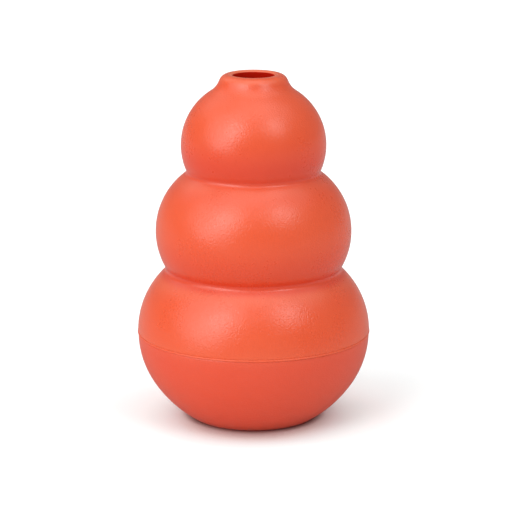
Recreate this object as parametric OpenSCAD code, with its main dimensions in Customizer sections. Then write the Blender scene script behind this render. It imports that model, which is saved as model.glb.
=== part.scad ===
/* [Base lobe] */
// Radius at the seam, the widest place of the toy
base_r = 35; // [32:0.5:38]
// Height of the seam above the floor
seam_h = 26.2; // [24:0.1:30]
// Radius of the arc that rounds the base lobe above the seam
base_arc_r = 25.2; // [23:0.1:27]
// Radius of the flat ring that the toy stands on
foot_r = 18.8; // [17.5:0.1:21]
// Slope of the bowl where it reaches the foot, in degrees above the floor
foot_slope = 31; // [27:1:36]
// Rounding between the bowl and the foot
foot_edge_r = 1.5; // [1:0.1:4]

/* [Middle lobe] */
// Radius of the middle lobe
mid_r = 29.4; // [27:0.1:32]
// Height of the middle lobe's widest place above the seam
mid_rise = 30.8; // [28.5:0.1:33]
// Radius of the arc that rounds the middle lobe
mid_arc_r = 21.6; // [19.5:0.1:23.5]
// Rounding at the bottom of the crease below the middle lobe
lower_crease_r = 1.4; // [0.8:0.1:2.5]

/* [Head lobe] */
// Radius of the head lobe
head_r = 21.7; // [20:0.1:24]
// Height of the head lobe's widest place above the middle lobe's
head_rise = 26.2; // [24:0.1:29]
// Radius of the arc that rounds the head lobe
head_arc_r = 19.1; // [17.5:0.1:20]
// Rounding at the bottom of the crease below the head lobe
upper_crease_r = 1.2; // [0.8:0.1:2.5]

/* [Nozzle] */
// Outer radius of the raised lip round the vent hole
lip_r = 10.4; // [10:0.1:12]
// Rounding of the lip's outer edge
lip_edge_r = 2.8; // [2:0.1:3.2]
// Height of the lip above the crown of the head lobe
lip_rise = 2.2; // [1.5:0.1:3.5]
// Hollow rounding where the lip runs into the head lobe
lip_blend_r = 6.8; // [4:0.1:8]

/* [Wall and openings] */
// Thickness of the rubber wall
wall = 11; // [8:0.5:12]
// Radius of the vent hole in the nozzle
vent_r = 6.2; // [5:0.1:6.6]
// Rounding of the vent hole's outer edge
vent_edge_r = 0.8; // [0.4:0.1:1.2]
// Radius of the fill mouth in the foot
mouth_r = 12; // [10:0.1:13]
// Rounding of the fill mouth's edges
mouth_edge_r = 1.5; // [0.8:0.1:2]
// Rounding in the corner between the cavity's floor and its side
pocket_corner_r = 4; // [2:0.5:5]

/* [Seam] */
// Thickness of the cured cement between the shells
bond_t = 0.3; // [0.2:0.05:0.5]
// Width of the tongue on the lower shell's rim
tongue_w = 3; // [2:0.1:4]
// Height of the tongue
tongue_h = 3.2; // [2:0.1:4]
// Rounding of each shell's outer rim edge at the seam
rim_edge_r = 0.5; // [0.4:0.1:0.8]
// How far the lower shell's rim stands back from the upper shell's
rim_step = 0.1; // [0:0.05:0.2]
// Radius of the cement bead that shows along the seam
bead_r = 0.35; // [0.3:0.05:0.5]
// How far the bead stands proud of the upper shell
bead_proud = 0.1; // [0.05:0.05:0.2]

/* [Hidden] */
$fn = 96;
overrun = 1;
reach_share = 2;
// Arcs that meet at a tangent lap by this hair, so that they cross at one clean point
lap = 0.001;

rubber_colour = [0.94, 0.34, 0.22];
lower_rubber_colour = [0.88, 0.31, 0.2];
cement_colour = [1, 0.5, 0.4];

// A point at distance d from a, in the direction of b
function toward(a, b, d) = a + (b - a) * d / norm(b - a);

// Centre of the circle of radius f that touches two circles from outside, on the side away from the axis
function blend_centre(a, a_r, b, b_r, f) =
    let (gap = norm(b - a))
    let (along = (b - a) / gap)
    let (m = ((a_r + f) ^ 2 - (b_r + f) ^ 2 + gap ^ 2) / (2 * gap))
    a + m * along + sqrt((a_r + f) ^ 2 - m ^ 2) * [along.y, -along.x];

// Centre, at height z, of a circle of radius e that touches the circle c, c_r from inside
function inner_centre(c, c_r, e, z) = [c.x + sqrt((c_r - e) ^ 2 - (z - c.y) ^ 2), z];

// Signed radius and centre of the arc that leaves p along t and passes through m
function arc_side(p, t, m) = ((m - p) * (m - p)) / (2 * ((m - p) * [t.y, -t.x]));
function arc_centre(p, t, m) = p + arc_side(p, t, m) * [t.y, -t.x];

// The two faces at the seam, with the cement between them
upper_land = seam_h + bond_t / 2;
lower_land = seam_h - bond_t / 2;

// The lobes' arcs from the seam up, and the roundings between them
base_c = [base_r - base_arc_r, seam_h];
mid_c = [mid_r - mid_arc_r, seam_h + mid_rise];
head_c = [head_r - head_arc_r, mid_c.y + head_rise];
top_z = head_c.y + head_arc_r + lip_rise;
lip_c = [lip_r - lip_edge_r, top_z - lip_edge_r];
lobe_centres = [base_c, mid_c, head_c, lip_c];
lobe_radii = [base_arc_r, mid_arc_r, head_arc_r, lip_edge_r];
blend_radii = [lower_crease_r, upper_crease_r, lip_blend_r];
inner_lobes = 3;
outer_lobes = 4;

// The bowl below the seam: two arcs that share a tangent, from the upright rim to the sloping foot
rim_r = base_r - rim_step;
rim_point = [rim_r, lower_land];
foot_point = [foot_r, 0];
rim_dir = [0, -1];
foot_dir = [-cos(foot_slope), -sin(foot_slope)];
span = foot_point - rim_point;
turn = 1 - rim_dir * foot_dir;
pull = span * (rim_dir + foot_dir);
handle = (-pull + sqrt(pull ^ 2 + 2 * turn * (span * span))) / (2 * turn);
bowl_joint = (rim_point + handle * rim_dir + foot_point - handle * foot_dir) / 2;
side_c = arc_centre(rim_point, rim_dir, bowl_joint);
side_arc_r = norm(bowl_joint - side_c);
flank_c = arc_centre(foot_point, -foot_dir, bowl_joint);
flank_arc_r = norm(bowl_joint - flank_c);

// The rounded rim edges at the seam
upper_edge_c = inner_centre(base_c, base_arc_r, rim_edge_r, upper_land + rim_edge_r);
lower_edge_c = inner_centre(side_c, side_arc_r, rim_edge_r, lower_land - rim_edge_r);

// The tongue stands in the middle of the wall
tongue_mid_r = base_r - wall / 2;
tongue_top = lower_land + tongue_h;
bead_c = [base_r + bead_proud - bead_r, seam_h];

// A disc on the profile
module disc(c, r) {
    translate(c)
        circle(r);
}

// What lies outside a disc between the directions of a and b: taken away, it rounds a corner
module shaving(c, r, a, b) {
    difference() {
        polygon([c, c + reach_share * (a - c), c + reach_share * (a + b - 2 * c), c + reach_share * (b - c)]);
        disc(c, r + lap);
    }
}

// The rounded waist between one lobe and the next
module waist(i, inset) {
    a = lobe_centres[i];
    b = lobe_centres[i + 1];
    f = blend_radii[i];
    k = blend_centre(a, lobe_radii[i], b, lobe_radii[i + 1], f);
    difference() {
        polygon([[0, a.y], a, k, b, [0, b.y]]);
        disc(k, f + inset + lap);
    }
}

// The stack of lobes above a height, from the axis out, drawn in by the inset
module lobes(count, inset, from_z) {
    intersection() {
        union() {
            for (i = [0:count - 1])
                disc(lobe_centres[i], lobe_radii[i] - inset);
            for (i = [0:count - 2])
                waist(i, inset);
            if (inset == 0)
                translate([0, head_c.y])
                    square([lip_c.x, top_z - head_c.y]);
        }
        translate([0, from_z])
            square([base_r + overrun, top_z - from_z]);
    }
}

// The bowl from its floor to the seam, from the axis out, drawn in by the inset.
// Whichever of its two arcs is the flatter one runs through, and the other rounds it off.
module bowl(inset, corner_r, to_z) {
    corner_c = inner_centre(flank_c, flank_arc_r - inset, corner_r, inset + corner_r);
    corner_end = toward(flank_c, corner_c, flank_arc_r);
    flat_flank = flank_arc_r > side_arc_r;
    difference() {
        intersection() {
            disc(flat_flank ? flank_c : side_c, max(flank_arc_r, side_arc_r) - inset);
            translate([0, inset])
                square([base_r + overrun, to_z - inset]);
        }
        if (flat_flank)
            shaving(side_c, side_arc_r - inset, bowl_joint, [base_r, to_z + overrun]);
        else
            shaving(flank_c, flank_arc_r - inset, corner_end, bowl_joint);
        shaving(corner_c, corner_r, [corner_c.x, inset], corner_end);
    }
}

// The groove in the upper shell takes the tongue with the cement round it
module groove() {
    translate([tongue_mid_r - tongue_w / 2 - bond_t, seam_h - bond_t])
        square([tongue_w + 2 * bond_t, tongue_top - seam_h + 2 * bond_t]);
}

module tongue() {
    translate([tongue_mid_r - tongue_w / 2, lower_land - wall / 2])
        square([tongue_w, tongue_h + wall / 2]);
}

module upper_section() {
    difference() {
        lobes(outer_lobes, 0, upper_land);
        lobes(inner_lobes, wall, upper_land);
        groove();
        translate([0, head_c.y])
            square([vent_r, top_z - head_c.y]);
        shaving([vent_r + vent_edge_r, top_z - vent_edge_r], vent_edge_r,
            [vent_r, top_z - vent_edge_r], [vent_r + vent_edge_r, top_z]);
        shaving(upper_edge_c, rim_edge_r,
            [upper_edge_c.x, upper_land], toward(base_c, upper_edge_c, base_arc_r));
    }
}

module lower_section() {
    difference() {
        bowl(0, foot_edge_r, lower_land);
        bowl(wall, pocket_corner_r, lower_land);
        square([mouth_r, wall]);
        shaving([mouth_r + mouth_edge_r, mouth_edge_r], mouth_edge_r,
            [mouth_r, mouth_edge_r], [mouth_r + mouth_edge_r, 0]);
        shaving([mouth_r + mouth_edge_r, wall - mouth_edge_r], mouth_edge_r,
            [mouth_r, wall - mouth_edge_r], [mouth_r + mouth_edge_r, wall]);
        shaving(lower_edge_c, rim_edge_r,
            [lower_edge_c.x, lower_land], toward(side_c, lower_edge_c, side_arc_r));
    }
    tongue();
}

// The cement fills the gap between the shells, wraps the tongue and swells out along the rims
module bond_section() {
    difference() {
        union() {
            translate([base_r - wall, lower_land])
                square([bead_c.x - base_r + wall, bond_t]);
            groove();
            translate(bead_c - [bead_r, bead_r])
                square([bead_r, 2 * bead_r]);
            disc(bead_c, bead_r);
        }
        upper_section();
        lower_section();
    }
}

// Nozzle, head, waist and the upper half of the base lobe, moulded in one
module upper_shell() {
    color(rubber_colour)
        rotate_extrude()
            upper_section();
}

// Bowl with the flat foot and the fill mouth, moulded in one
module lower_shell() {
    color(lower_rubber_colour)
        rotate_extrude()
            lower_section();
}

// Ring of cured rubber cement that joins the shells and shows as a fine raised line
module bond_ring() {
    color(cement_colour)
        rotate_extrude()
            bond_section();
}

upper_shell();
lower_shell();
bond_ring();
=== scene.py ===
import math

import bpy
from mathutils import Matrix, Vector


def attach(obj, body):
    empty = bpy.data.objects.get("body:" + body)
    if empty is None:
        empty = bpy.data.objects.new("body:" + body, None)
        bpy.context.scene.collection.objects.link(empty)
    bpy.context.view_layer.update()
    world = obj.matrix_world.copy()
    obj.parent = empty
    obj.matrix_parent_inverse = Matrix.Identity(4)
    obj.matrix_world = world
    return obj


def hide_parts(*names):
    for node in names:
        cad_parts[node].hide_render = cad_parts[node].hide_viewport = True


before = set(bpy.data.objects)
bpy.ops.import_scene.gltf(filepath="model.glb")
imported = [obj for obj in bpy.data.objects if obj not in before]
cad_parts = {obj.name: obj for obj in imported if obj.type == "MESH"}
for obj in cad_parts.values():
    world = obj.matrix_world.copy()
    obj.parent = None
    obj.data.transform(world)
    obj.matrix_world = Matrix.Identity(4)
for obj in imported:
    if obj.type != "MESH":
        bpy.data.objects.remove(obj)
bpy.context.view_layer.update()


# Camera
# The toy was taken with a long lens from well back and a little above, so its lobes hardly converge.
# The lens looks down by 14 degrees, and the toy stands a hair left of the middle of the frame.
look_down = 13.99
lens_view = bpy.data.cameras.new("long_lens")
lens_view.sensor_width = 36
lens_view.lens = 179.1
lens_view.shift_x = 0.0047
lens_view.clip_start = 0.05
lens_view.clip_end = 40
photo_camera = bpy.data.objects.new("photo_camera", lens_view)
photo_camera.location = (0, -0.744, 0.2344)
photo_camera.rotation_euler = (math.radians(90 - look_down), 0, 0)
bpy.context.scene.collection.objects.link(photo_camera)
bpy.context.scene.camera = photo_camera


# Lower shell
# The bowl that the toy stands on: one moulding of orange-red rubber with a flat foot and a fill mouth.
# Its wall is 11 mm thick all the way round, and a tongue on its rim goes up into the upper shell.
base_r = 35
seam_h = 26.2
rim_step = 0.1
foot_r = 18.8
foot_slope = 31
foot_edge_r = 1.5
wall = 11
mouth_r = 12
mouth_edge_r = 1.5
pocket_corner_r = 4
bond_t = 0.3
tongue_w = 3
tongue_h = 3.2
rim_edge_r = 0.5
lower_land = seam_h - bond_t / 2

# The toy's sizes are in mm, and its pieces are made in metres
mm = 0.001

# How finely a section is drawn
outside_step = 0.7
inside_step = 1.3
closest_points = 0.002
fewest_steps = 7


def toward(start, end, distance):
    """The point at a distance from start in the direction of end."""
    return start + (end - start).normalized() * distance


def inner_centre(centre, radius, edge_r, height):
    """Where a small rounding sits that touches a big arc from inside, its centre at a height."""
    return Vector((centre.x + math.sqrt((radius - edge_r) ** 2 - (height - centre.y) ** 2), height))


def arc_centre(start, heading, passing):
    """Centre of the arc that leaves start along heading and goes through another point."""
    chord, side = passing - start, Vector((heading.y, -heading.x))
    return start + side * (chord.dot(chord) / (2 * chord.dot(side)))


def arc(centre, start, end, step, clockwise=False):
    """Points along an arc of the section, ends included, no further apart than the step."""
    first, last = start - centre, end - centre
    begin = math.atan2(first.y, first.x)
    turn = math.atan2(last.y, last.x) - begin
    if clockwise and turn > 0:
        turn -= math.tau
    if not clockwise and turn < 0:
        turn += math.tau
    count = max(fewest_steps, math.ceil(abs(turn) * first.length / step))
    angles = [begin + turn * i / count for i in range(count + 1)]
    return [centre + first.length * Vector((math.cos(angle), math.sin(angle))) for angle in angles]


def straight(start, end, step):
    """Points along a straight part of the section, ends included."""
    count = max(1, math.ceil((end - start).length / step))
    return [start.lerp(end, i / count) for i in range(count + 1)]


def put(tree, kind, settings, sockets):
    """Adds a node, with its settings, and links or fills the sockets that are named."""
    node = tree.nodes.new(kind)
    for name, value in settings.items():
        setattr(node, name, value)
    for name, value in sockets.items():
        if isinstance(value, bpy.types.NodeSocket):
            tree.links.new(value, node.inputs[name])
        else:
            node.inputs[name].default_value = value
    return node


def calculate(tree, operation, first, second):
    """What a Math node makes of two numbers or sockets."""
    return put(tree, "ShaderNodeMath", {"operation": operation}, {0: first, 1: second}).outputs[0]


# The steps round the axis, the bend from which a corner stays sharp, and the distance, in metres, over
# which the edges where the turned sheet meets itself are welded
turns_round = 256
sharp_corner = math.radians(40)
weld_distance = 0.000001

# The ripple's value that leaves the surface where it is, so that a bead draws in more than it swells out
ripple_rest = 0.6

# A face belongs to the cavity where its points carry more than this share of the hidden mark
cavity_share = 0.6


def lathe_tree():
    """Turns a closed section round the Z axis. The section is a loop of edges in the XZ plane."""
    tree = bpy.data.node_groups.new("turned_moulding", "GeometryNodeTree")
    tree.interface.new_socket("Section", in_out="INPUT", socket_type="NodeSocketGeometry")
    for name, kind, value in (
        ("Turns Round", "NodeSocketInt", turns_round),
        ("Sharp Corner", "NodeSocketFloat", sharp_corner),
        ("Unevenness", "NodeSocketFloat", 0.0),
        ("Unevenness Scale", "NodeSocketFloat", 200.0),
        ("Uneven Beyond Radius", "NodeSocketFloat", 1.0),
        ("Seed", "NodeSocketFloat", 1.0),
        ("Rubber", "NodeSocketMaterial", None),
        ("Cavity Rubber", "NodeSocketMaterial", None),
    ):
        socket = tree.interface.new_socket(name, in_out="INPUT", socket_type=kind)
        if value is not None:
            socket.default_value = value
    tree.interface.new_socket("Moulding", in_out="OUTPUT", socket_type="NodeSocketGeometry")
    given = tree.nodes.new("NodeGroupInput").outputs
    section = given["Section"]

    # A sheet with a row for each corner of the section and a column for each step round the axis, and
    # one more of each, where the sheet meets itself
    size = put(tree, "GeometryNodeAttributeDomainSize", {"component": "MESH"}, {"Geometry": section})
    corner_count = size.outputs["Point Count"]
    rows = calculate(tree, "ADD", corner_count, 1)
    columns = calculate(tree, "ADD", given["Turns Round"], 1)
    sheet = put(tree, "GeometryNodeMeshGrid", {}, {"Vertices X": rows, "Vertices Y": columns})
    index = tree.nodes.new("GeometryNodeInputIndex").outputs[0]
    row = calculate(tree, "FLOOR", calculate(tree, "DIVIDE", index, columns), 0)
    column = calculate(tree, "SUBTRACT", index, calculate(tree, "MULTIPLY", row, columns))
    angle = calculate(tree, "MULTIPLY", column, math.tau)
    angle = calculate(tree, "DIVIDE", angle, given["Turns Round"])
    corner = calculate(tree, "MODULO", row, corner_count)

    # Each point goes to its corner's place, turned round the axis, and takes the corner's marks along
    place = tree.nodes.new("GeometryNodeInputPosition").outputs[0]
    on_section = put(tree, "GeometryNodeSampleIndex", {"data_type": "FLOAT_VECTOR"},
                     {"Geometry": section, "Value": place, "Index": corner})
    flat = put(tree, "ShaderNodeSeparateXYZ", {}, {0: on_section.outputs[0]}).outputs
    turned = put(tree, "ShaderNodeCombineXYZ", {}, {
        0: calculate(tree, "MULTIPLY", flat[0], calculate(tree, "COSINE", angle, 0)),
        1: calculate(tree, "MULTIPLY", flat[0], calculate(tree, "SINE", angle, 0)),
        2: flat[2]})
    zones = put(tree, "GeometryNodeInputNamedAttribute", {"data_type": "FLOAT_VECTOR"}, {"Name": "zones"})
    zone = put(tree, "GeometryNodeSampleIndex", {"data_type": "FLOAT_VECTOR"},
               {"Geometry": section, "Value": zones.outputs[0], "Index": corner})
    marked = put(tree, "GeometryNodeStoreNamedAttribute", {"data_type": "FLOAT_VECTOR", "domain": "POINT"},
                 {"Geometry": sheet.outputs["Mesh"], "Name": "zones", "Value": zone.outputs[0]})
    shaped = put(tree, "GeometryNodeSetPosition", {},
                 {"Geometry": marked.outputs[0], "Position": turned.outputs[0]})

    # The part beyond a radius swells and shrinks a little, straight out from the axis
    ripple = put(tree, "ShaderNodeTexNoise", {"noise_dimensions": "4D"},
                 {"Vector": place, "W": given["Seed"], "Scale": given["Unevenness Scale"], "Detail": 3.0})
    height = calculate(tree, "SUBTRACT", ripple.outputs[0], ripple_rest)
    height = calculate(tree, "MULTIPLY", height, given["Unevenness"])
    outer = calculate(tree, "GREATER_THAN", flat[0], given["Uneven Beyond Radius"])
    level = put(tree, "ShaderNodeVectorMath", {"operation": "MULTIPLY"}, {0: place, 1: (1.0, 1.0, 0.0)})
    outward = put(tree, "ShaderNodeVectorMath", {"operation": "NORMALIZE"}, {0: level.outputs[0]})
    push = put(tree, "ShaderNodeVectorMath", {"operation": "SCALE"},
               {0: outward.outputs[0], "Scale": calculate(tree, "MULTIPLY", height, outer)})
    uneven = put(tree, "GeometryNodeSetPosition", {},
                 {"Geometry": shaped.outputs[0], "Offset": push.outputs[0]})

    # The sheet's meeting edges are welded, and the corners that are sharp on the real piece stay sharp
    faced_out = put(tree, "GeometryNodeFlipFaces", {}, {"Mesh": uneven.outputs[0]})
    closed = put(tree, "GeometryNodeMergeByDistance", {},
                 {"Geometry": faced_out.outputs[0], "Distance": weld_distance})
    smooth = put(tree, "GeometryNodeSetShadeSmooth", {"domain": "FACE"},
                 {0: closed.outputs[0], "Shade Smooth": True})
    bend = tree.nodes.new("GeometryNodeInputMeshEdgeAngle").outputs["Unsigned Angle"]
    sharp = calculate(tree, "GREATER_THAN", bend, given["Sharp Corner"])
    crisp = put(tree, "GeometryNodeSetShadeSmooth", {"domain": "EDGE"},
                {0: smooth.outputs[0], "Selection": sharp, "Shade Smooth": False})

    real = put(tree, "GeometryNodeRealizeInstances", {}, {0: crisp.outputs[0]})
    dressed = put(tree, "GeometryNodeSetMaterial", {},
                  {"Geometry": real.outputs[0], "Material": given["Rubber"]})
    hidden = put(tree, "ShaderNodeSeparateXYZ", {}, {0: zones.outputs[0]}).outputs[2]
    in_cavity = calculate(tree, "GREATER_THAN", hidden, cavity_share)
    lined = put(tree, "GeometryNodeSetMaterial", {},
                {"Geometry": dressed.outputs[0], "Selection": in_cavity, "Material": given["Cavity Rubber"]})
    tree.links.new(lined.outputs[0], tree.nodes.new("NodeGroupOutput").inputs[0])
    return tree


turned_moulding = lathe_tree()


def near(point, marks):
    """How strongly a point is marked. Each mark is a place, a reach over which it fades, and an amount."""
    amounts = (amount * math.exp(-((point - mark).length / reach) ** 2) for mark, reach, amount in marks)
    return max(amounts, default=0)


def mould(name, section, edges, shade_marks, is_inside, sizes):
    """Turns a section, in mm, into a piece. Points carry wear, painted highlight, painted shade, hiding."""
    loop = []
    for point in section:
        if not loop or (point - loop[-1]).length > closest_points:
            loop.append(point)
    if (loop[0] - loop[-1]).length < closest_points:
        loop.pop()
    links = [(i, (i + 1) % len(loop)) for i in range(len(loop))]
    outline = bpy.data.meshes.new(name + "_section")
    outline.from_pydata([(point.x * mm, 0, point.y * mm) for point in loop], links, [])
    zones = outline.attributes.new("zones", "FLOAT_VECTOR", "POINT")
    for i, point in enumerate(loop):
        zones.data[i].vector = (near(point, edges), near(point, shade_marks), float(is_inside(point)))
    piece = bpy.data.objects.new(name, outline)
    bpy.context.scene.collection.objects.link(piece)
    lathe = piece.modifiers.new("lathe", "NODES")
    lathe.node_group = turned_moulding
    for socket in turned_moulding.interface.items_tree:
        if socket.in_out == "INPUT" and socket.name in sizes:
            lathe[socket.identifier] = sizes[socket.name]
    bpy.context.view_layer.update()
    turned_piece = piece.evaluated_get(bpy.context.evaluated_depsgraph_get())
    made = bpy.data.meshes.new_from_object(turned_piece)
    piece.modifiers.remove(lathe)
    piece.data = made
    made.name = name
    return piece


def mixed(tree, amount, first, second):
    """One colour turned into another by an amount."""
    node = put(tree, "ShaderNodeMix", {"data_type": "RGBA"}, {0: amount, 6: first, 7: second})
    return node.outputs[2]


def noise(tree, where, scale, detail, roughness=0.5):
    """A cloudy pattern, its scale in patches to the metre."""
    return put(tree, "ShaderNodeTexNoise", {},
               {"Vector": where, "Scale": scale, "Detail": detail, "Roughness": roughness}).outputs[0]


def ranged(tree, value, given, wanted):
    """A number taken from one range to another, and held at the ends."""
    return put(tree, "ShaderNodeMapRange", {},
               {0: value, 1: given[0], 2: given[1], 3: wanted[0], 4: wanted[1]}).outputs[0]


def bump(tree, height, strength, depth, coarser=None):
    """Relief from a pattern, its depth in metres, laid over a coarser relief where one is given."""
    sockets = {"Strength": strength, "Distance": depth, "Height": height}
    if coarser is not None:
        sockets["Normal"] = coarser
    return put(tree, "ShaderNodeBump", {}, sockets).outputs[0]


def blank_material(name):
    """A material with an empty tree, and the place on the piece that its patterns follow."""
    material = bpy.data.materials.new(name)
    material.use_nodes = True
    tree = material.node_tree
    tree.nodes.clear()
    return material, tree, tree.nodes.new("ShaderNodeTexCoord").outputs["Object"]


def surface(tree, tint, shine, relief, refraction, gloss):
    """Gives a material its shader. A gloss of 0.5 is what the refraction gives by itself."""
    shader = put(tree, "ShaderNodeBsdfPrincipled", {}, {
        "Base Color": tint, "Roughness": shine, "Normal": relief,
        "IOR": refraction, "Specular IOR Level": gloss})
    tree.links.new(shader.outputs[0], tree.nodes.new("ShaderNodeOutputMaterial").inputs[0])


# The patterns in the rubber, in patches to the metre, and the span that most of a noise's values lie in
drift_scale = 55.0
speck_scale = 900.0
grain_scale = 2300.0
pebble_scale = 1900.0
noise_span = (0.3, 0.7)

# How much the patterns, wear and painted highlights change the colour, and how much they change the
# roughness
speck_tint = 0.10
rubbed_and_highlight_tint = 0.5
drift_shine = (-0.03, 0.04)
speck_shine = 0.05

# The relief, its depths in metres. The grain goes from its open to its sheltered strength as the
# painted shade mark of a crease goes from nothing to full shelter.
swell_strength = 0.5
swell_depth = 0.0002
pebble_share = 0.6
grain_depth = 0.000085
open_grain = 0.8
sheltered_grain = 0.35
full_shelter = 0.5

# The rubber's index of refraction
rubber_refraction = 1.5


def moulded_rubber(name, pigment, faded, painted_shade, rubbed_and_highlight, roughness, gloss):
    """Satin moulded rubber: drifting pigment, fine grain, wear, painted highlights and painted shade."""
    rubber, tree, where = blank_material(name)
    zones = put(tree, "ShaderNodeAttribute", {"attribute_name": "zones"}, {}).outputs["Vector"]
    marks = put(tree, "ShaderNodeSeparateXYZ", {}, {0: zones}).outputs
    wear_and_highlight, shade_and_shelter = marks[0], marks[1]
    drift = noise(tree, where, drift_scale, detail=4.0, roughness=0.55)
    speck = noise(tree, where, speck_scale, detail=2.0)
    grain = noise(tree, where, grain_scale, detail=1.0)
    pebble = put(tree, "ShaderNodeTexVoronoi", {"feature": "SMOOTH_F1"},
                 {"Vector": where, "Scale": pebble_scale, "Smoothness": 0.5}).outputs[0]

    tint = mixed(tree, drift, pigment, faded)
    tint = mixed(tree, calculate(tree, "MULTIPLY", speck, speck_tint), tint, faded)
    # Painted shade: darker, redder rubber in the creases, under the lobes and round the neck
    tint = mixed(tree, shade_and_shelter, tint, painted_shade)
    # Paler rubbed rubber at worn edges, and painted highlights on the upper shoulders and the vent edge
    patchy = calculate(tree, "MULTIPLY", drift, rubbed_and_highlight_tint)
    tint = mixed(tree, calculate(tree, "MULTIPLY", wear_and_highlight, patchy), tint, rubbed_and_highlight)

    shine = ranged(tree, drift, noise_span, (roughness + drift_shine[0], roughness + drift_shine[1]))
    shine = calculate(tree, "ADD", shine, calculate(tree, "MULTIPLY", speck, speck_shine))

    swell = bump(tree, drift, swell_strength, swell_depth)
    skin = calculate(tree, "ADD", grain, calculate(tree, "MULTIPLY", pebble, pebble_share))
    strength = ranged(tree, shade_and_shelter, (0.0, full_shelter), (open_grain, sheltered_grain))
    touch = bump(tree, skin, strength, grain_depth, coarser=swell)
    surface(tree, tint, shine, touch, rubber_refraction, gloss)
    return rubber


def cavity_rubber_painted_shade(name, pigment, painted_shade):
    """Rubber where it left the core: matt, unpolished, faintly mottled, and darkened red as painted shade.
    """
    rubber, tree, where = blank_material(name)
    mottle = noise(tree, where, scale=140.0, detail=5.0)
    tooth = noise(tree, where, scale=1100.0, detail=3.0)
    tint = mixed(tree, mottle, pigment, painted_shade)
    shine = ranged(tree, tooth, noise_span, wanted=(0.62, 0.8))
    touch = bump(tree, calculate(tree, "ADD", tooth, mottle), strength=0.6, depth=0.00012)
    surface(tree, tint, shine, touch, refraction=1.4, gloss=0.04)
    return rubber


# The bowl's outside is two arcs that share a tangent, from the upright rim to the sloping foot
rim_point = Vector((base_r - rim_step, lower_land))
foot_point = Vector((foot_r, 0))
rim_heading = Vector((0, -1))
foot_heading = Vector((-math.cos(math.radians(foot_slope)), -math.sin(math.radians(foot_slope))))
span = foot_point - rim_point
bend = 1 - rim_heading.dot(foot_heading)
pull = span.dot(rim_heading + foot_heading)
handle = (-pull + math.sqrt(pull ** 2 + 2 * bend * span.dot(span))) / (2 * bend)
bowl_joint = (rim_point + handle * rim_heading + foot_point - handle * foot_heading) / 2
side_c = arc_centre(rim_point, rim_heading, bowl_joint)
side_arc_r = (bowl_joint - side_c).length
flank_c = arc_centre(foot_point, -foot_heading, bowl_joint)
flank_arc_r = (bowl_joint - flank_c).length
lower_edge_c = inner_centre(side_c, side_arc_r, rim_edge_r, lower_land - rim_edge_r)
foot_edge_c = inner_centre(flank_c, flank_arc_r, foot_edge_r, foot_edge_r)

# Its inside lies one wall further in, with a rounded corner at the floor and the fill mouth through it
side_in_r = side_arc_r - wall
flank_in_r = flank_arc_r - wall
pocket_c = inner_centre(flank_c, flank_in_r, pocket_corner_r, wall + pocket_corner_r)
inner_rim = Vector((side_c.x + math.sqrt(side_in_r ** 2 - (lower_land - side_c.y) ** 2), lower_land))
tongue_in = base_r - wall / 2 - tongue_w / 2
tongue_out = tongue_in + tongue_w
tongue_top = lower_land + tongue_h
mouth_low_c = Vector((mouth_r + mouth_edge_r, mouth_edge_r))
mouth_high_c = Vector((mouth_r + mouth_edge_r, wall - mouth_edge_r))

lower_section = (
    straight(Vector((mouth_low_c.x, 0)), Vector((foot_edge_c.x, 0)), outside_step)
    + arc(foot_edge_c, Vector((foot_edge_c.x, 0)), toward(flank_c, foot_edge_c, flank_arc_r), outside_step)
    + arc(flank_c, toward(flank_c, foot_edge_c, flank_arc_r), bowl_joint, outside_step)
    + arc(side_c, bowl_joint, toward(side_c, lower_edge_c, side_arc_r), outside_step)
    + arc(lower_edge_c, toward(side_c, lower_edge_c, side_arc_r),
          Vector((lower_edge_c.x, lower_land)), outside_step)
    + straight(Vector((lower_edge_c.x, lower_land)), Vector((tongue_out, lower_land)), inside_step)
    + [Vector((tongue_out, tongue_top)), Vector((tongue_in, tongue_top)), Vector((tongue_in, lower_land))]
    + arc(side_c, inner_rim, toward(side_c, bowl_joint, side_in_r), inside_step, clockwise=True)
    + arc(flank_c, toward(flank_c, bowl_joint, flank_in_r),
          toward(flank_c, pocket_c, flank_in_r), inside_step, clockwise=True)
    + arc(pocket_c, toward(flank_c, pocket_c, flank_in_r),
          Vector((pocket_c.x, wall)), inside_step, clockwise=True)
    + straight(Vector((pocket_c.x, wall)), Vector((mouth_high_c.x, wall)), inside_step)
    + arc(mouth_high_c, Vector((mouth_high_c.x, wall)), Vector((mouth_r, mouth_high_c.y)), outside_step)
    + straight(Vector((mouth_r, mouth_high_c.y)), Vector((mouth_r, mouth_low_c.y)), inside_step)
    + arc(mouth_low_c, Vector((mouth_r, mouth_low_c.y)), Vector((mouth_low_c.x, 0)), outside_step)
)

# The rubber is rubbed paler round the foot and the fill mouth and, half as much, at the seam
edge_reach = 1.6
lower_edges = [
    (Vector((foot_r, 0.6)), edge_reach, 1),
    (Vector((mouth_r + 0.5, 0.5)), edge_reach, 1),
    (Vector((base_r - 0.2, lower_land - 0.2)), edge_reach, 0.5),
]

# The cavity's rubber starts a hair outside the mouth's side and a hair below the cavity's floor
mouth_margin = 0.2
floor_margin = 0.1


def in_lower_cavity(point):
    """Whether a point of the lower section lies in the fill mouth or on the cavity's side."""
    return point.x < mouth_r + mouth_margin or (point.y > wall - floor_margin and point.x < tongue_in)


lower_rubber = moulded_rubber(
    "duller_lower_rubber",
    pigment=(0.675, 0.0480, 0.0080, 1),
    faded=(0.685, 0.0590, 0.0120, 1),
    painted_shade=(0.640, 0.0260, 0.0042, 1),
    rubbed_and_highlight=(0.730, 0.116, 0.045, 1),
    roughness=0.34,
    gloss=0.78)
# The cavity's colours are painted shade: far darker and redder than the rubber outside, for the deep hole
cavity_shade_rubber = cavity_rubber_painted_shade(
    "cavity_rubber_painted_shade",
    pigment=(0.46, 0.009, 0.0012, 1),
    painted_shade=(0.36, 0.005, 0.0008, 1))
lower_shell = mould("lower_shell_rubber", lower_section, lower_edges, [], in_lower_cavity,
                    {"Rubber": lower_rubber, "Cavity Rubber": cavity_shade_rubber})
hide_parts("lower_shell")
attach(lower_shell, "root")


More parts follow.
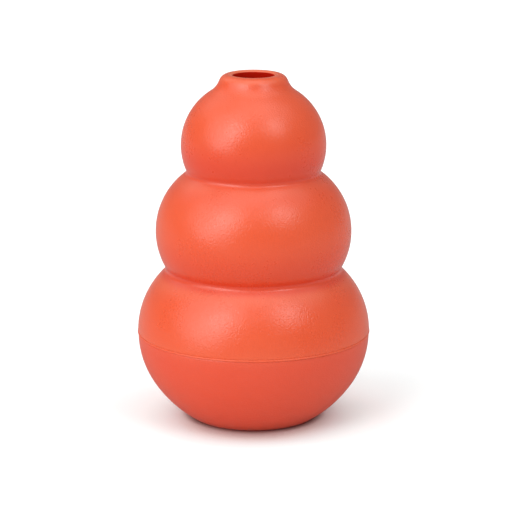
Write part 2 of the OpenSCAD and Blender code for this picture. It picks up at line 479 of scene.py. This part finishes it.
# Bond ring
# Rubber cement cured between the two rims. It wraps the tongue, and what was pressed out at the rims
# set as a fine raised bead round the toy, paler and a little duller than the rubber.
bead_r = 0.35
bead_proud = 0.1
bead_inner_r = base_r - 0.25
bead_turns = 512
fine_step = 0.1
base_arc_r = 25.2
upper_land = seam_h + bond_t / 2
base_c = Vector((base_r - base_arc_r, seam_h))
upper_edge_c = inner_centre(base_c, base_arc_r, rim_edge_r, upper_land + rim_edge_r)
bead_c = Vector((base_r + bead_proud - bead_r, seam_h))


def crossing(one, one_r, other, other_r):
    """Where two circles of the section cross, on the side away from the axis."""
    gap = (other - one).length
    along = (other - one).normalized()
    reach = (one_r ** 2 - other_r ** 2 + gap ** 2) / (2 * gap)
    rise = Vector((along.y, -along.x)) * math.sqrt(one_r ** 2 - reach ** 2)
    return max((one + along * reach + rise, one + along * reach - rise), key=lambda point: point.x)


bead_foot = crossing(bead_c, bead_r, lower_edge_c, rim_edge_r)
bead_head = crossing(bead_c, bead_r, upper_edge_c, rim_edge_r)
bond_section = (
    [Vector((base_r - wall, lower_land)), Vector((tongue_in, lower_land)), Vector((tongue_in, tongue_top)),
     Vector((tongue_out, tongue_top)), Vector((tongue_out, lower_land))]
    + arc(lower_edge_c, Vector((lower_edge_c.x, lower_land)), bead_foot, fine_step, clockwise=True)
    + arc(bead_c, bead_foot, bead_head, fine_step)
    + arc(upper_edge_c, bead_head, Vector((upper_edge_c.x, upper_land)), fine_step, clockwise=True)
    + [Vector((tongue_out + bond_t, upper_land)), Vector((tongue_out + bond_t, tongue_top + bond_t)),
       Vector((tongue_in - bond_t, tongue_top + bond_t)), Vector((tongue_in - bond_t, upper_land)),
       Vector((base_r - wall, upper_land))]
)


def cured_cement(name, fresh, aged):
    """Cured rubber cement, with a drawn, slightly lumpy skin."""
    cement, tree, where = blank_material(name)
    lumps = noise(tree, where, scale=260.0, detail=4.0)
    fine = noise(tree, where, scale=1800.0, detail=2.0)
    tint = mixed(tree, lumps, fresh, aged)
    shine = ranged(tree, fine, noise_span, wanted=(0.32, 0.46))
    fine_share = 0.4
    skin = calculate(tree, "ADD", lumps, calculate(tree, "MULTIPLY", fine, fine_share))
    touch = bump(tree, skin, strength=0.4, depth=0.00008)
    surface(tree, tint, shine, touch, rubber_refraction, gloss=0.5)
    return cement


cement = cured_cement("cured_cement", fresh=(0.68, 0.075, 0.022, 1), aged=(0.72, 0.105, 0.038, 1))
bond_ring = mould("bond_ring_cement", bond_section, [], [], lambda point: False, {
    "Rubber": cement, "Cavity Rubber": cement,
    "Turns Round": bead_turns, "Unevenness": 0.00006, "Unevenness Scale": 420.0,
    "Uneven Beyond Radius": bead_inner_r * mm, "Seed": 7.0})
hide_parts("bond_ring")
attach(bond_ring, "root")


# Upper shell
# The three lobes and the nozzle, moulded in one from the same rubber and cemented over the tongue.
# The skin is satin from a polished mould, with a fine grain that shows where the light strikes it.
mid_r = 29.4
mid_rise = 30.8
mid_arc_r = 21.6
head_r = 21.7
head_rise = 26.2
head_arc_r = 19.1
lip_r = 10.4
lip_edge_r = 2.8
lip_rise = 2.2
lower_crease_r = 1.4
upper_crease_r = 1.2
lip_blend_r = 6.8
vent_r = 6.2
vent_edge_r = 0.8
mid_c = Vector((mid_r - mid_arc_r, seam_h + mid_rise))
head_c = Vector((head_r - head_arc_r, mid_c.y + head_rise))
crown_z = head_c.y + head_arc_r
top_z = crown_z + lip_rise
lip_c = Vector((lip_r - lip_edge_r, top_z - lip_edge_r))
lobes = ((base_c, base_arc_r), (mid_c, mid_arc_r), (head_c, head_arc_r), (lip_c, lip_edge_r))
crease_rs = (lower_crease_r, upper_crease_r, lip_blend_r)

# The cavity follows the three lobes, and the outside goes on over the lip
inner_lobes = 3
outer_lobes = 4


def blend_centre(lower, lower_r, upper, upper_r, blend_r):
    """Centre of the rounding in a crease, which touches both lobes from outside."""
    return crossing(lower, lower_r + blend_r, upper, upper_r + blend_r)


crease_cs = [blend_centre(*lobes[i], *lobes[i + 1], crease_rs[i]) for i in range(inner_lobes)]


def lobe_line(inset, count, step):
    """The wavy side of the toy from the seam up, set in by the wall for the cavity."""
    line, last = [], None
    for i in range(count):
        centre, radius = lobes[i]
        if i > 0:
            start = last
        elif inset == 0:
            start = toward(base_c, upper_edge_c, base_arc_r)
        else:
            reach = math.sqrt((radius - inset) ** 2 - (upper_land - centre.y) ** 2)
            start = Vector((centre.x + reach, upper_land))
        if i < count - 1:
            end = toward(centre, crease_cs[i], radius - inset)
            last = toward(lobes[i + 1][0], crease_cs[i], lobes[i + 1][1] - inset)
        elif inset == 0:
            end = Vector((centre.x, centre.y + radius))
        else:
            end = Vector((vent_r, centre.y + math.sqrt((radius - inset) ** 2 - (vent_r - centre.x) ** 2)))
        line += arc(centre, start, end, step)
        if i < count - 1:
            line += arc(crease_cs[i], end, last, step, clockwise=True)
    return line


cavity_line = lobe_line(wall, inner_lobes, inside_step)
vent_edge_c = Vector((vent_r + vent_edge_r, top_z - vent_edge_r))
upper_section = (
    [Vector((tongue_in - bond_t, upper_land)), Vector((tongue_in - bond_t, tongue_top + bond_t)),
     Vector((tongue_out + bond_t, tongue_top + bond_t)), Vector((tongue_out + bond_t, upper_land))]
    + arc(upper_edge_c, Vector((upper_edge_c.x, upper_land)),
          toward(base_c, upper_edge_c, base_arc_r), outside_step)
    + lobe_line(0, outer_lobes, outside_step)
    + arc(vent_edge_c, Vector((vent_edge_c.x, top_z)), Vector((vent_r, vent_edge_c.y)), outside_step)
    + straight(Vector((vent_r, vent_edge_c.y)), cavity_line[-1], inside_step)
    + cavity_line[::-1]
)


def crease_top(lobe, crease_c):
    """The place where a lobe starts, at the upper end of the rounding in the crease below it."""
    centre, radius = lobe
    return toward(centre, crease_c, radius)


def underside(lobe, crease_c, rise):
    """A place on the underside of a lobe, some way up from the crease below it."""
    centre, radius = lobe
    return toward(centre, crease_top(lobe, crease_c) + Vector((rise, rise)), radius)


def beside(lobe, crease_c, along):
    """A place on a lobe, some way round it from where the rounding of the crease above meets it."""
    centre, radius = lobe
    out = (crease_c - centre).normalized()
    return toward(centre, centre + out * radius + Vector((out.y, -out.x)) * along, radius)


# Paler where hands and teeth rub: the lip, the vent hole and the rim at the seam.
# The vent hole's edge is made paler still as a painted highlight, and the pale lines on the two shoulders
# are painted highlights. Each mark is a place, its reach in mm and its amount.
shoulder_highlight_reach = 2.6
upper_edges = [
    (Vector((lip_r - 0.8, top_z - 0.8)), edge_reach, 1),
    (Vector((vent_r + 0.6, top_z - 0.1)), 0.9, 3),
    (Vector((base_r - 0.2, upper_land + 0.2)), edge_reach, 0.4),
    (beside(lobes[0], crease_cs[0], 2.6), shoulder_highlight_reach, 1),
    (beside(lobes[1], crease_cs[1], 1.4), shoulder_highlight_reach, 1),
]

# Painted shade: the rubber is darker and redder in both creases, under the middle and head lobes,
# just below each crease and round the neck
crease_shade_reach = 2.2
crease_shade_amount = 0.9
underside_rise = 2.5
underside_shade_reach = 7
upper_shade_marks = [
    (crease_top(lobes[1], crease_cs[0]), crease_shade_reach, crease_shade_amount),
    (crease_top(lobes[2], crease_cs[1]), crease_shade_reach, crease_shade_amount),
    (underside(lobes[1], crease_cs[0], underside_rise), underside_shade_reach, 0.5),
    (underside(lobes[2], crease_cs[1], underside_rise), underside_shade_reach, 0.75),
    (beside(lobes[0], crease_cs[0], 0.5), 1.5, 0.8),
    (beside(lobes[1], crease_cs[1], 0.2), 0.7, 0.3),
    (toward(lip_c, crease_cs[2], lip_edge_r + 0.9), 1.3, 0.4),
]
vent_margin = 0.1


def outside_r(height):
    """How far out the lobes reach at a height."""
    reaches = [0]
    for centre, radius in lobes:
        rise = abs(height - centre.y)
        if rise < radius:
            reaches.append(centre.x + math.sqrt(radius ** 2 - rise ** 2))
    return max(reaches)


def in_upper_cavity(point):
    """Whether a point of the upper section lies in the vent hole or on the cavity's side."""
    below_crown = point.y < crown_z - wall / 2
    return point.x < vent_r + vent_margin or (below_crown and point.x < outside_r(point.y) - wall / 2)


upper_rubber = moulded_rubber(
    "satin_upper_rubber",
    pigment=(0.685, 0.0664, 0.0126, 1),
    faded=(0.695, 0.0830, 0.0202, 1),
    painted_shade=(0.620, 0.0330, 0.0050, 1),
    rubbed_and_highlight=(0.745, 0.156, 0.066, 1),
    roughness=0.26,
    gloss=0.69)
upper_shell = mould("upper_shell_rubber", upper_section, upper_edges, upper_shade_marks, in_upper_cavity,
                    {"Rubber": upper_rubber, "Cavity Rubber": cavity_shade_rubber})
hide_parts("upper_shell")
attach(upper_shell, "root")


# Floor
# A wide sheet of matt white studio paper. A warm dark contact shadow is painted on it where the toy stands,
# and it is whiter to the camera than in the light and the reflections that it gives the rubber.
floor_half = 20
paper_bounce = (0.88, 0.85, 0.85, 1)
paper_in_gloss = (0.42, 0.42, 0.42, 1)

# How far the toy's painted shadow reaches on the paper, in metres, and its colour at each openness to the
# light. The paper looks for its light upwards and to the back, so the painted shadow is stronger in front.
shade_reach = 0.014
up_and_back = (0.0, 0.7, 0.714)
painted_shadow_steps = (
    (0.08, (0.22, 0.05, 0.04, 1)),
    (0.21, (0.67, 0.61, 0.60, 1)),
    (0.30, (0.80, 0.82, 0.80, 1)),
    (0.40, (0.85, 0.94, 0.95, 1)),
    (0.65, (0.90, 1.0, 1.0, 1)),
    (0.95, (0.98, 1.0, 1.0, 1)),
)

# The narrow gap under the foot's rounded edge, where the painted shadow is darkest. Its reach is in metres.
crevice_reach = 0.003
crevice_open = 0.4
painted_crevice_shadow = (0.20, 0.06, 0.05, 1)

# A faint painted glow, seen only by the camera, lifts the open paper a little towards pure white
painted_glow_span = (0.40, 0.80)
painted_glow_top = 0.07
painted_glow_colour = (0.5, 1, 1, 1)

paper = bpy.data.meshes.new("floor")
paper.from_pydata([(-floor_half, -floor_half, 0), (floor_half, -floor_half, 0),
                   (floor_half, floor_half, 0), (-floor_half, floor_half, 0)], [], [(0, 1, 2, 3)])
floor = bpy.data.objects.new("floor", paper)
bpy.context.scene.collection.objects.link(floor)
white_paper = bpy.data.materials.new("white_paper")
white_paper.use_nodes = True
paper_tree = white_paper.node_tree
paper_shader = paper_tree.nodes["Principled BSDF"]
path = paper_tree.nodes.new("ShaderNodeLightPath").outputs
leaning = put(paper_tree, "ShaderNodeCombineXYZ", {}, dict(enumerate(up_and_back))).outputs[0]
openness = put(paper_tree, "ShaderNodeAmbientOcclusion", {"samples": 16},
               {"Distance": shade_reach, "Normal": leaning}).outputs["AO"]
crevice = put(paper_tree, "ShaderNodeAmbientOcclusion", {"samples": 8},
              {"Distance": crevice_reach}).outputs["AO"]
shade = paper_tree.nodes.new("ShaderNodeValToRGB")
while len(shade.color_ramp.elements) < len(painted_shadow_steps):
    shade.color_ramp.elements.new(0.5)
for element, (position, colour) in zip(shade.color_ramp.elements, painted_shadow_steps):
    element.position = position
    element.color = colour
paper_tree.links.new(openness, shade.inputs[0])
tucked = ranged(paper_tree, crevice, (0.0, crevice_open), (0.0, 1.0))
# The paper's colour for the camera, darkened by the painted contact shadow
seen = mixed(paper_tree, tucked, painted_crevice_shadow, shade.outputs[0])
unseen = mixed(paper_tree, path["Is Glossy Ray"], paper_bounce, paper_in_gloss)
tint = mixed(paper_tree, path["Is Camera Ray"], unseen, seen)
# The painted glow, stronger where the paper is open and seen only by the camera
painted_glow = ranged(paper_tree, openness, painted_glow_span, (0.0, painted_glow_top))
painted_glow_seen = calculate(paper_tree, "MULTIPLY", painted_glow, path["Is Camera Ray"])
paper_tree.links.new(tint, paper_shader.inputs["Base Color"])
paper_tree.links.new(painted_glow_seen, paper_shader.inputs["Emission Strength"])
paper_shader.inputs["Emission Color"].default_value = painted_glow_colour
paper_shader.inputs["Roughness"].default_value = 0.9
paper_shader.inputs["Specular IOR Level"].default_value = 0.0
floor.data.materials.append(white_paper)


# Studio light
# Soft lights on both sides in front, weaker ones from behind the left and from above the right, and two
# broad ones overhead that only the gloss shows, in a white room. Their directions, sizes and strengths
# follow the highlights and the shading of the photograph.
def soft_light(name, azimuth, elevation, spread, strength, only_shine=False):
    """A far soft light. Azimuth goes from the camera towards its right, and all angles are in degrees."""
    lamp = bpy.data.lights.new(name, "SUN")
    lamp.angle = math.radians(spread)
    lamp.energy = strength * math.pi
    holder = bpy.data.objects.new(name, lamp)
    across, up = math.radians(azimuth), math.radians(elevation)
    away = Vector((math.sin(across) * math.cos(up), -math.cos(across) * math.cos(up), math.sin(up)))
    holder.rotation_mode = "QUATERNION"
    holder.rotation_quaternion = away.to_track_quat("Z", "Y")
    holder.visible_diffuse = not only_shine
    bpy.context.scene.collection.objects.link(holder)


soft_light("left_box", -38, 36, 26, 0.130)
soft_light("left_wash", -56, 34, 64, 0.350)
soft_light("left_low", -50, 10, 36, 0.113)
soft_light("rear_left", -130, 45, 40, 0.075)
soft_light("right_box", 44, 42, 26, 0.161)
soft_light("right_top", 88, 58, 40, 0.078)
soft_light("top_front", 0, 55, 45, 0.083, only_shine=True)
soft_light("top_box", 0, 85, 50, 0.218, only_shine=True)

# How bright the room is as a light, in the gloss and to the camera
room_fill = 0.738
room_in_gloss = 0.268
room_seen = 1.0

studio = bpy.data.worlds.new("white_room")
studio.use_nodes = True
room_tree = studio.node_tree
room = room_tree.nodes["Background"]
room.inputs["Color"].default_value = (1, 1, 1, 1)
room_path = room_tree.nodes.new("ShaderNodeLightPath").outputs
room_light = ranged(room_tree, room_path["Is Glossy Ray"], (0.0, 1.0), (room_fill, room_in_gloss))
room_strength = ranged(room_tree, room_path["Is Camera Ray"], (0.0, 1.0), (room_light, room_seen))
room_tree.links.new(room_strength, room.inputs["Strength"])
bpy.context.scene.world = studio
bpy.context.scene.view_settings.view_transform = "Standard"
